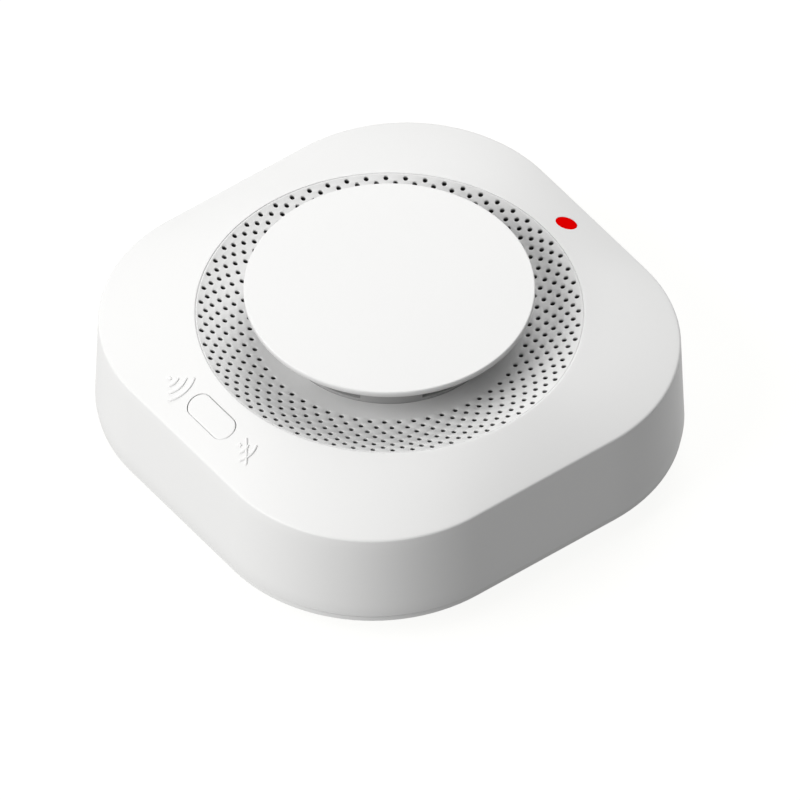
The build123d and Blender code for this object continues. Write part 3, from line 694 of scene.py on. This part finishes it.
def bowlShare(finish):
    # How far a place lies from the bowl's inner edge to its outer one: 0 to 1.
    radius = (finish.axis(0) ** 2 + finish.axis(1) ** 2) ** 0.5
    return (radius - grille["inner"]) / (grille["outer"] - grille["inner"])


def shadeTowardsCollar(finish):
    # Share of the painted grey: a tenth everywhere, which darkens the bowl's plastic, and up to half
    # towards the collar, as painted shade under the cap.
    return 0.1 + finish.clamp(1.0 - bowlShare(finish) * 1.8) * 0.4


def grilleFinish():
    # The cover's plastic, with painted shade under the cap towards the collar. Each hole is painted
    # darker with its depth below the bowl, as painted shade, where the bowl's height is edge - rise (1 -
    # share^2).
    finish, shaded = shadedPlastic("grille_plastic", rgb(0.45, 0.452, 0.455), shadeTowardsCollar)
    share = bowlShare(finish)
    surface = grille["edgeHeight"] - grille["rise"] * (1.0 - share**2)
    # Painted shade: the hole walls turn near-black below the bowl's surface.
    depth = (surface - finish.axis(2) - grille["shadeStart"]) / grille["shadeDepth"]
    finish.colour(finish.mix(finish.clamp(depth), shaded, rgb(0.03, 0.03, 0.03)))
    return finish.material


grilleBowl = makeGrille()
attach(grilleBowl, "detector")
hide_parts("sound_grille")
print("grille made:", len(grilleBowl.data.polygons), "faces")

# Cap: a thin round disc with soft edges, and a short spigot below it.
capLow, capHigh = (np.array(corner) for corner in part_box("centre_cap"))
cap = {
    "radius": capHigh[0],
    "top": capHigh[2],
    "thickness": 1.42 * mm,
    "spigotOuter": 21.1 * mm,
    "spigotInner": 19.9 * mm,
    "spigotFoot": capLow[2],
    "topRound": 0.34 * mm,
    "underRound": 0.22 * mm,
    "footRound": 0.15 * mm,
    "filletRound": 0.2 * mm,
    # Painted shade below the cap's top: where it begins, and the depth over which it reaches the
    # underside's grey.
    "paintedShadeStart": 0.1 * mm,
    "paintedShadeDepth": 2.2 * mm,
}
capUnder = cap["top"] - cap["thickness"]
capCorners = [
    (0.0, cap["top"], 0.0),
    (cap["radius"], cap["top"], cap["topRound"]),
    (cap["radius"], capUnder, cap["underRound"]),
    (cap["spigotOuter"], capUnder, cap["filletRound"]),
    (cap["spigotOuter"], cap["spigotFoot"], cap["footRound"]),
    (cap["spigotInner"], cap["spigotFoot"], cap["footRound"]),
    (cap["spigotInner"], capUnder, cap["filletRound"]),
    (0.0, capUnder, 0.0),
]


def capShadeAmount(finish):
    # How far a place lies below the cap's top: 0 to 1 over the painted shade's depth.
    return finish.clamp((cap["top"] - cap["paintedShadeStart"] - finish.axis(2)) / cap["paintedShadeDepth"])


def capFinish():
    # The cover's plastic on top, with painted shade that deepens over the edge to a grey underside.
    finish, shaded = shadedPlastic("cap_plastic", rgb(0.33, 0.33, 0.33), capShadeAmount)
    finish.colour(shaded)
    return finish.material


capDisc = lathe("cap_disc", capCorners, capFinish())  # the spigot goes down into the collar
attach(capDisc, "detector")
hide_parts("centre_cap")


def windowedSleeve(name, inner, outer, heights, steps, isSolid, finish, sharp=38.0):
    # A sleeve on a grid of angle and height, solid where isSolid(angle, height) says so. Each cell
    # has an outer and an inner face, and a wall wherever it borders an open cell.
    rows = len(heights)
    angle = np.arange(steps) * 2 * pi / steps
    middleAngle = angle + pi / steps
    middleHeight = (heights[:-1] + heights[1:]) / 2
    solid = isSolid(np.degrees(middleAngle)[None, :] % 360, middleHeight[:, None])
    layers = []
    for radius in (inner, outer):
        height = np.broadcast_to(heights[:, None], (rows, steps))
        circle = [radius * np.cos(angle), radius * np.sin(angle)]
        layers.append(np.stack(np.broadcast_arrays(*circle, height), -1))
    points = np.stack(layers)

    def index(layer, row, column):
        return layer * rows * steps + row * steps + column % steps

    row, column = np.nonzero(solid)
    faces = []
    for layer in (0, 1):
        ring = [index(layer, row, column), index(layer, row, column + 1)]
        ring += [index(layer, row + 1, column + 1), index(layer, row + 1, column)]
        faces.append(np.stack(ring, -1))
    row, column = np.nonzero(solid != np.roll(solid, 1, 1))
    edge = [index(0, row, column), index(1, row, column)]
    edge += [index(1, row + 1, column), index(0, row + 1, column)]
    faces.append(np.stack(edge, -1))
    padded = np.concatenate([np.zeros((1, steps), bool), solid, np.zeros((1, steps), bool)])
    row, column = np.nonzero(padded[1:] != padded[:-1])
    edge = [index(0, row, column), index(1, row, column)]
    edge += [index(1, row, column + 1), index(0, row, column + 1)]
    faces.append(np.stack(edge, -1))
    return makePiece(name, points, np.concatenate(faces), finish, sharp)


# Collar: the sleeve of windows under the cap, painted dark grey as painted shade under the cap, with the
# flange that carries the grille.
collarLow, collarHigh = (np.array(corner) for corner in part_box("inlet_collar"))
bowlInner = bowlHeight(grille["inner"])
collar = {
    "outer": 22.9 * mm,
    "inner": 21.2 * mm,
    "windows": 6,
    "span": 28.0,
    "first": -66.0,
    "sill": bowlInner + 0.7 * mm,
    "lintel": collarHigh[2] - 0.8 * mm,
    "flange": 2 * mm,
    "flangeTop": bowlInner - grille["thickness"],
    "flangeThickness": 1.2 * mm,
    "flangeLap": 0.1 * mm,
    "flangeRound": 0.2 * mm,
    "lapRound": 0.02 * mm,
    "steps": 360,
}


def collarSolid(angle, height):
    # Open where the angle is within half a span of a window's middle, between sill and lintel.
    pitch = 360 / collar["windows"]
    apart = np.abs((angle - collar["first"] + pitch / 2) % pitch - pitch / 2)
    isOpen = (apart < collar["span"] / 2) & (height > collar["sill"]) & (height < collar["lintel"])
    return ~isOpen


flangeInner = collar["outer"] - collar["flangeLap"]
flangeOuter = collar["outer"] + collar["flange"]
flangeFoot = collar["flangeTop"] - collar["flangeThickness"]
collarSteps = [collarLow[2], flangeFoot, bowlInner, collar["sill"], collar["lintel"], collarHigh[2]]
collarGrid = (np.array(collarSteps), collar["steps"], collarSolid)
collarRadii = (collar["inner"], collar["outer"])
inletCollar = windowedSleeve("collar_sleeve", *collarRadii, *collarGrid, collarShadeGrey)
flangeCorners = [
    (flangeInner, collar["flangeTop"], collar["lapRound"]),
    (flangeOuter, collar["flangeTop"], collar["flangeRound"]),
    (flangeOuter, flangeFoot, collar["flangeRound"]),
    (flangeInner, flangeFoot, collar["lapRound"]),
]
collarFlange = lathe("collar_flange", flangeCorners, coverWhite)
for piece in (inletCollar, collarFlange):
    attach(piece, "detector")
    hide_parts("inlet_collar")
print("cap and collar made")

# Marks beside the button: raised strokes, sound waves on one side and a crossed wave on the other.
marks = {
    "wavesStart": np.array([-13.9 * mm, -45.35 * mm]),
    "quietStart": np.array([9.8 * mm, -45.35 * mm]),
    "reaches": (1.7 * mm, 3.4 * mm, 5.1 * mm),
    "spread": 42,
    "dot": ((-0.5 * mm, 0), (0.4 * mm, 0)),
    "slash": ((-0.4 * mm, 1.9 * mm), (4.6 * mm, -1.9 * mm)),
    "width": 0.56 * mm,
    "height": 0.3 * mm,
    "taper": 0.14,  # share of the half length over which a stroke sinks away
    "sink": 0.25,
    "pathSteps": 28,
    "sectionSteps": 18,
}


def arcPath(centre, radius):
    # Points of an arc about +X: centre + radius (cos a, sin a).
    angle = np.radians(np.linspace(-marks["spread"], marks["spread"], marks["pathSteps"]))
    return centre + radius * np.stack([np.cos(angle), np.sin(angle)], -1)


def linePath(centre, ends):
    t = np.linspace(0, 1, marks["pathSteps"])[:, None]
    return centre + (1 - t) * np.array(ends[0]) + t * np.array(ends[1])


def strokePoints(path):
    # A half-round ridge along a path: sideways w cos f, up h sin f, sinking to nothing at each end
    # by the square root of 1 - e^2, and sunk a little into the roof.
    ahead = np.gradient(path, axis=0)
    ahead /= np.linalg.norm(ahead, axis=1)[:, None]
    aside = np.stack([-ahead[:, 1], ahead[:, 0]], -1)
    end = np.clip((np.abs(np.linspace(-1, 1, len(path))) - 1) / marks["taper"] + 1, 0, 1)
    size = np.sqrt(1 - end**2)[:, None]
    turn = np.linspace(0, 2 * pi, marks["sectionSteps"], endpoint=False)
    sideways = marks["width"] / 2 * np.cos(turn) * size
    plan = path[:, None] + aside[:, None] * sideways[..., None]
    lift = marks["height"] * np.sin(turn) * size
    lift = np.where(np.sin(turn) < 0, lift * marks["sink"], lift)
    height = roofHeight(plan[..., 0], plan[..., 1]) + lift
    return np.concatenate([plan, height[..., None]], -1)


def makeMark(name, paths):
    # Several strokes as one piece, which lies on the cover's roof.
    points = []
    faces = []
    count = 0
    for path in paths:
        stroke = strokePoints(path)
        faces.append(gridFaces(stroke.shape[0], stroke.shape[1], False, True) + count)
        points.append(stroke.reshape(-1, 3))
        count += stroke.shape[0] * stroke.shape[1]
    mark = makePiece(name, np.concatenate(points), np.concatenate(faces), coverWhite, sharp=80.0)
    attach(mark, "detector")


wavePaths = [arcPath(marks["wavesStart"], reach) for reach in marks["reaches"]]
makeMark("mark_waves", wavePaths + [linePath(marks["wavesStart"], marks["dot"])])
quietPaths = [arcPath(marks["quietStart"], reach) for reach in marks["reaches"][:2]]
quietPaths += [linePath(marks["quietStart"], marks[stroke]) for stroke in ("slash", "dot")]
makeMark("mark_quiet", quietPaths)
print("marks made")

# Camera: far off with a long lens, its frame moved aside and up from the target.
view = {
    "azimuth": 53.033,
    "elevation": 46.168,
    "roll": -0.128,
    "distance": 7.0,
    "lens": 1547.8,
    "aside": -2.133 * mm,
    "above": 8.769 * mm,
    "target": (0.0, 0.0, 21.15 * mm),
    "sensor": 36,
    "near": 0.1,
    "far": 50,
}
azimuth = radians(view["azimuth"])
elevation = radians(view["elevation"])
roll = radians(view["roll"])
back = Vector((sin(azimuth) * cos(elevation), -cos(azimuth) * cos(elevation), sin(elevation)))
flatRight = Vector((cos(azimuth), sin(azimuth), 0))
flatUp = back.cross(flatRight)
camRight = cos(roll) * flatRight + sin(roll) * flatUp
camUp = -sin(roll) * flatRight + cos(roll) * flatUp
cameraData = bpy.data.cameras.new("camera")
cameraData.sensor_width = view["sensor"]
cameraData.lens = view["lens"]
cameraData.clip_start = view["near"]
cameraData.clip_end = view["far"]
camera = bpy.data.objects.new("camera", cameraData)
bpy.context.scene.collection.objects.link(camera)
eye = Vector(view["target"]) + back * view["distance"] - camRight * view["aside"] - camUp * view["above"]
camera.matrix_world = Matrix((camRight, camUp, back)).transposed().to_4x4()
camera.location = eye
bpy.context.scene.camera = camera

# Floor: a hair below the ceiling face, and clear from underneath so that the back can be seen.
ground = {
    "reach": 3.0,
    "height": -0.05 * mm,
    "tint": rgb(0.14, 0.14, 0.14),
    "glow": rgb(1.0, 1.0, 0.985),
    "glowStrength": 0.9,
}
floorMesh = bpy.data.meshes.new("floor")
reach = ground["reach"]
floorPlan = [(-reach, -reach), (reach, -reach), (reach, reach), (-reach, reach)]
floorMesh.from_pydata([(x, y, ground["height"]) for x, y in floorPlan], [], [(0, 1, 2, 3)])
floorFinish = Finish("floor_white", Roughness=0.9, Specular_IOR_Level=0.0)
floorFinish.colour(ground["tint"])
floorFinish.shader.inputs["Emission Color"].default_value = ground["glow"]
floorFinish.shader.inputs["Emission Strength"].default_value = ground["glowStrength"]
fromBelow = floorFinish.make("ShaderNodeNewGeometry", {}, {}, output="Backfacing")
clear = floorFinish.make("ShaderNodeBsdfTransparent", {}, {})
above = Wire(floorFinish, floorFinish.shader.outputs[0])
oneSided = floorFinish.make("ShaderNodeMixShader", {}, {0: fromBelow, 1: above, 2: clear})
floorFinish.feed(floorFinish.tree.nodes["Material Output"].inputs["Surface"], oneSided)
floorMesh.materials.append(floorFinish.material)
floor = bpy.data.objects.new("floor", floorMesh)
floor.visible_diffuse = False
bpy.context.scene.collection.objects.link(floor)


studio = {
    "key_light": {"from": -99, "rise": 35, "size": 1.35, "power": 28.2, "tint": (1.0, 0.996, 0.985)},
    "far_light": {"from": 128, "rise": 40, "size": 1.4, "power": 17.0, "tint": (1.0, 0.998, 0.99)},
    "distance": 1.6,
    "aim": (0, 0, 20 * mm),
    "ambient": 0.27,
}


def softLight(name):
    # A round soft light that stands off the object and faces it.
    look = studio[name]
    data = bpy.data.lights.new(name, "AREA")
    data.shape = "DISK"
    data.size = look["size"]
    data.energy = look["power"]
    data.color = look["tint"]
    light = bpy.data.objects.new(name, data)
    turn = radians(look["from"])
    rise = radians(look["rise"])
    place = Vector((cos(turn) * cos(rise), sin(turn) * cos(rise), sin(rise))) * studio["distance"]
    light.location = place + Vector(studio["aim"])
    light.rotation_euler = place.to_track_quat("Z", "Y").to_euler()
    bpy.context.scene.collection.objects.link(light)


softLight("key_light")
softLight("far_light")
world = bpy.data.worlds.new("studio")
world.use_nodes = True
surround = world.node_tree.nodes["Background"].inputs
surround["Color"].default_value = rgb(1.0, 1.0, 1.0)
surround["Strength"].default_value = studio["ambient"]
bpy.context.scene.world = world
bpy.context.scene.view_settings.view_transform = "Standard"

print("stage set")
